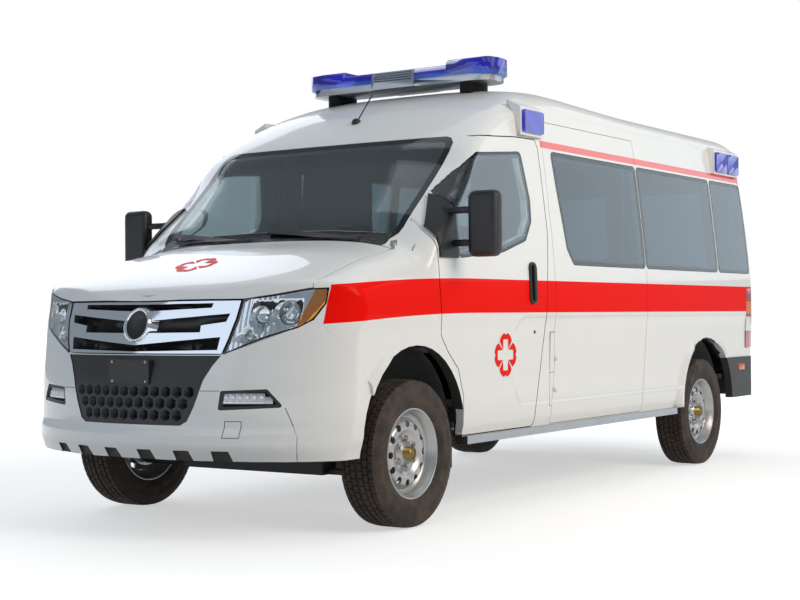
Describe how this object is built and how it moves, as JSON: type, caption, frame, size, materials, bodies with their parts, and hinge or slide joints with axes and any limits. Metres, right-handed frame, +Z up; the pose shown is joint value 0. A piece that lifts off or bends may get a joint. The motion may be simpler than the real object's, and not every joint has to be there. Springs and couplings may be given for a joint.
{
  "type": "van ambulance",
  "caption": "White high-roof van ambulance with red side stripe, blue roof light bar, tinted side windows and hinged doors.",
  "frame": {"origin": "on the ground below the middle of the overall box", "axes": "+Z up, front of the vehicle towards -Y, +X to the vehicle's left"},
  "size_m": [2.51, 5.5, 2.504],
  "materials": {
    "white_paint": "gloss",
    "glass": "clear",
    "lamp": "clear",
    "red_lamp": "gloss",
    "blue_lens": "gloss",
    "chrome": "polished",
    "black_plastic": "satin",
    "grey_plastic": "satin",
    "aluminium": "satin",
    "frame": "matte",
    "iron": "matte",
    "steel": "satin",
    "wheel_steel": "satin",
    "tyre": "matte",
    "rubber": "matte",
    "cloth": "woven"
  },
  "bodies": {
    "body": {"left_side": "white_paint", "right_side": "white_paint", "roof_panel": "white_paint", "floor_pan": "frame", "chassis_frame": "frame", "front_wings": "white_paint", "front_bumper": "white_paint", "upper_grille": "chrome", "lower_grille": "black_plastic", "plate_carrier": "black_plastic", "headlamps": "chrome", "headlamp_lenses": "lamp", "fog_lamps": "black_plastic", "windscreen": "glass", "mid_panel": "white_paint", "sliding_door": "white_paint", "side_windows": "glass", "rear_bumper": "grey_plastic", "tail_lamps": "red_lamp", "light_bar": "aluminium", "light_bar_lenses": "blue_lens", "side_beacons": "white_paint", "beacon_lenses": "blue_lens", "sill_trims": "aluminium", "mud_flaps": "rubber", "arch_liners": "black_plastic", "dashboard": "grey_plastic", "front_seats": "cloth", "bulkhead": "grey_plastic", "engine": "iron", "front_axle": "frame", "rear_axle": "frame", "fuel_tank": "black_plastic", "exhaust": "steel", "wipers": "black_plastic", "roof_aerial": "black_plastic"},
    "bonnet": {"bonnet": "white_paint"},
    "front_door_left": {"front_door_left": "white_paint", "door_glass_left": "glass", "door_fittings_left": "black_plastic"},
    "front_door_right": {"front_door_right": "white_paint", "door_glass_right": "glass", "door_fittings_right": "black_plastic"},
    "rear_door_left": {"rear_door_left": "white_paint", "rear_glass_left": "glass"},
    "rear_door_right": {"rear_door_right": "white_paint", "rear_glass_right": "glass"},
    "knuckle_left": {"knuckle_left": "iron"},
    "knuckle_right": {"knuckle_right": "iron"},
    "wheel_front_left": {"rim_front_left": "wheel_steel", "tyre_front_left": "tyre"},
    "wheel_front_right": {"rim_front_right": "wheel_steel", "tyre_front_right": "tyre"},
    "wheel_rear_left": {"rim_rear_left": "wheel_steel", "tyre_rear_left": "tyre"},
    "wheel_rear_right": {"rim_rear_right": "wheel_steel", "tyre_rear_right": "tyre"},
    "steering_wheel": {"steering_wheel": "black_plastic"}
  },
  "joints": [
    {"name": "bonnet_hinge", "type": "hinge", "parent": "body", "child": "bonnet", "pos_m": [0, -1.726, 1.422], "axis": [-1, 0, 0], "range_deg": [0, 55]},
    {"name": "front_door_left_hinge", "type": "hinge", "parent": "body", "child": "front_door_left", "pos_m": [1, -1.574, 1.2], "axis": [0, 0, -1], "range_deg": [0, 65]},
    {"name": "front_door_right_hinge", "type": "hinge", "parent": "body", "child": "front_door_right", "pos_m": [-1, -1.574, 1.2], "axis": [0, 0, 1], "range_deg": [0, 65]},
    {"name": "rear_door_left_hinge", "type": "hinge", "parent": "body", "child": "rear_door_left", "pos_m": [0.852, 2.716, 1.3], "axis": [0, 0, -1], "range_deg": [0, 180]},
    {"name": "rear_door_right_hinge", "type": "hinge", "parent": "body", "child": "rear_door_right", "pos_m": [-0.852, 2.716, 1.3], "axis": [0, 0, 1], "range_deg": [0, 180]},
    {"name": "steer_left", "type": "hinge", "parent": "body", "child": "knuckle_left", "pos_m": [0.77, -1.75, 0.36], "axis": [0, 0, 1], "range_deg": [-35, 35]},
    {"name": "steer_right", "type": "hinge", "parent": "body", "child": "knuckle_right", "pos_m": [-0.77, -1.75, 0.36], "axis": [0, 0, 1], "range_deg": [-35, 35]},
    {"name": "steering_wheel_turn", "type": "hinge", "parent": "body", "child": "steering_wheel", "pos_m": [0.42, -0.95, 1.12], "axis": [0, 0.6428, 0.766], "range_deg": [-490, 490]},
    {"name": "wheel_front_left_spin", "type": "hinge", "parent": "knuckle_left", "child": "wheel_front_left", "pos_m": [0.86, -1.75, 0.36], "axis": [1, 0, 0], "continuous": true},
    {"name": "wheel_front_right_spin", "type": "hinge", "parent": "knuckle_right", "child": "wheel_front_right", "pos_m": [-0.86, -1.75, 0.36], "axis": [1, 0, 0], "continuous": true},
    {"name": "wheel_rear_left_spin", "type": "hinge", "parent": "body", "child": "wheel_rear_left", "pos_m": [0.86, 1.83, 0.36], "axis": [1, 0, 0], "continuous": true},
    {"name": "wheel_rear_right_spin", "type": "hinge", "parent": "body", "child": "wheel_rear_right", "pos_m": [-0.86, 1.83, 0.36], "axis": [1, 0, 0], "continuous": true}
  ],
  "couplings": [
    {"joint": "steer_right", "follows": "steer_left", "ratio": 1},
    {"joint": "steering_wheel_turn", "follows": "steer_left", "ratio": 14}
  ]
}
